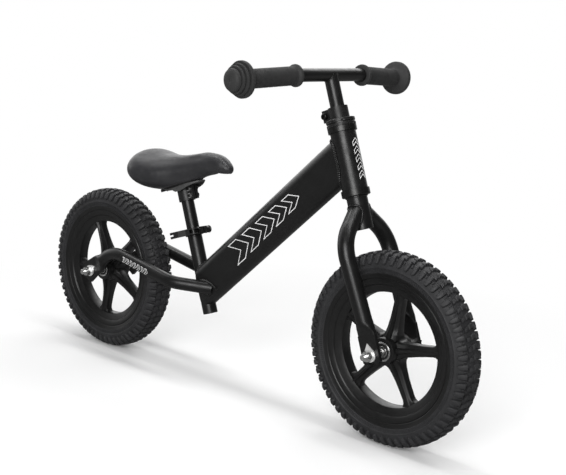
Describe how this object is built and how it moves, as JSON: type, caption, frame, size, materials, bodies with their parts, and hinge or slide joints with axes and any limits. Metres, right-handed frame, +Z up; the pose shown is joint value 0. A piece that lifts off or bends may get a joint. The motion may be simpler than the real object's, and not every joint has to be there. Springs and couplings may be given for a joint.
{
  "type": "balance bike",
  "caption": "Pedal-free balance bike with a wide oval down tube, swivelling fork, foam-tyred spoked wheels, padded saddle on a quick-release post and a swept handlebar.",
  "frame": {"origin": "on the ground midway between the two wheels", "axes": "+X forward to the front wheel, +Y to the rider's left, +Z up"},
  "size_m": [0.957, 0.4172, 0.5696],
  "materials": {
    "frame_paint": "satin black powder coat",
    "clamp_paint": "satin black coated steel",
    "bright_steel": "bright zinc plated",
    "dark_steel": "black oxide",
    "bar_steel": "satin black powder coat",
    "rim_plastic": "moulded nylon, semi-gloss black",
    "tyre_foam": "matte moulded foam",
    "grip_rubber": "matte moulded rubber",
    "saddle_cover": "satin black vinyl over foam",
    "saddle_plastic": "moulded black plastic",
    "plug_plastic": "moulded black plastic"
  },
  "bodies": {
    "frame": {"head_tube": "frame_paint", "down_tube": "frame_paint", "seat_tube": "frame_paint", "chainstay_right": "frame_paint", "chainstay_left": "frame_paint", "seat_tube_plug": "plug_plastic", "headset_lower_cup": "dark_steel", "headset_upper_cup": "dark_steel", "headset_lower_balls": "bright_steel", "headset_upper_balls": "bright_steel", "seat_clamp_collar": "clamp_paint", "seat_clamp_skewer": "dark_steel", "seat_clamp_nut": "dark_steel", "seat_clamp_washer": "dark_steel", "rear_axle": "bright_steel", "rear_axle_nuts": "bright_steel", "rear_tab_washers": "bright_steel", "rear_axle_spacer_right": "bright_steel", "rear_axle_spacer_left": "bright_steel"},
    "clamp_lever": {"seat_clamp_lever": "clamp_paint"},
    "fork": {"steerer_tube": "frame_paint", "fork_crown": "frame_paint", "fork_leg_right": "frame_paint", "fork_leg_left": "frame_paint", "headset_crown_race": "dark_steel", "headset_cone": "dark_steel", "headset_washer": "dark_steel", "headset_locknut": "dark_steel", "steerer_clamp": "clamp_paint", "steerer_clamp_nut": "dark_steel", "steerer_clamp_screw": "dark_steel", "front_axle": "bright_steel", "front_axle_nuts": "bright_steel", "front_tab_washers": "bright_steel", "front_axle_spacer_right": "bright_steel", "front_axle_spacer_left": "bright_steel"},
    "front_wheel": {"front_rim": "rim_plastic", "front_tyre": "tyre_foam", "front_bearing_right": "bright_steel", "front_bearing_left": "bright_steel"},
    "rear_wheel": {"rear_rim": "rim_plastic", "rear_tyre": "tyre_foam", "rear_bearing_right": "bright_steel", "rear_bearing_left": "bright_steel"},
    "handlebar": {"stem_post": "bar_steel", "handlebar_bar": "bar_steel", "grip_right": "grip_rubber", "grip_left": "grip_rubber"},
    "saddle": {"seat_post": "bar_steel", "saddle_clamp_sleeve": "clamp_paint", "saddle_plate": "clamp_paint", "saddle_clamp_screws": "dark_steel", "saddle_clamp_nuts": "bright_steel", "saddle_base": "saddle_plastic", "saddle_cushion": "saddle_cover"}
  },
  "joints": [
    {"name": "steering", "type": "hinge", "parent": "frame", "child": "fork", "pos_m": [0.22063, 0, 0.42999], "axis": [-0.342, 0, 0.9397], "range_deg": [-90, 90]},
    {"name": "front_wheel_spin", "type": "hinge", "parent": "fork", "child": "front_wheel", "pos_m": [0.3285, 0, 0.15], "axis": [0, 1, 0], "continuous": true},
    {"name": "rear_wheel_spin", "type": "hinge", "parent": "frame", "child": "rear_wheel", "pos_m": [-0.3285, 0, 0.15], "axis": [0, 1, 0], "continuous": true},
    {"name": "seat_height", "type": "slide", "parent": "frame", "child": "saddle", "axis": [-0.342, 0, 0.9397], "range_m": [-0.045, 0.035]},
    {"name": "handlebar_height", "type": "slide", "parent": "fork", "child": "handlebar", "axis": [-0.342, 0, 0.9397], "range_m": [-0.04, 0.045]},
    {"name": "seat_clamp_lever", "type": "hinge", "parent": "frame", "child": "clamp_lever", "pos_m": [-0.0915, -0.019, 0.2614], "axis": [-0.342, 0, 0.9397], "range_deg": [0, 120]}
  ]
}
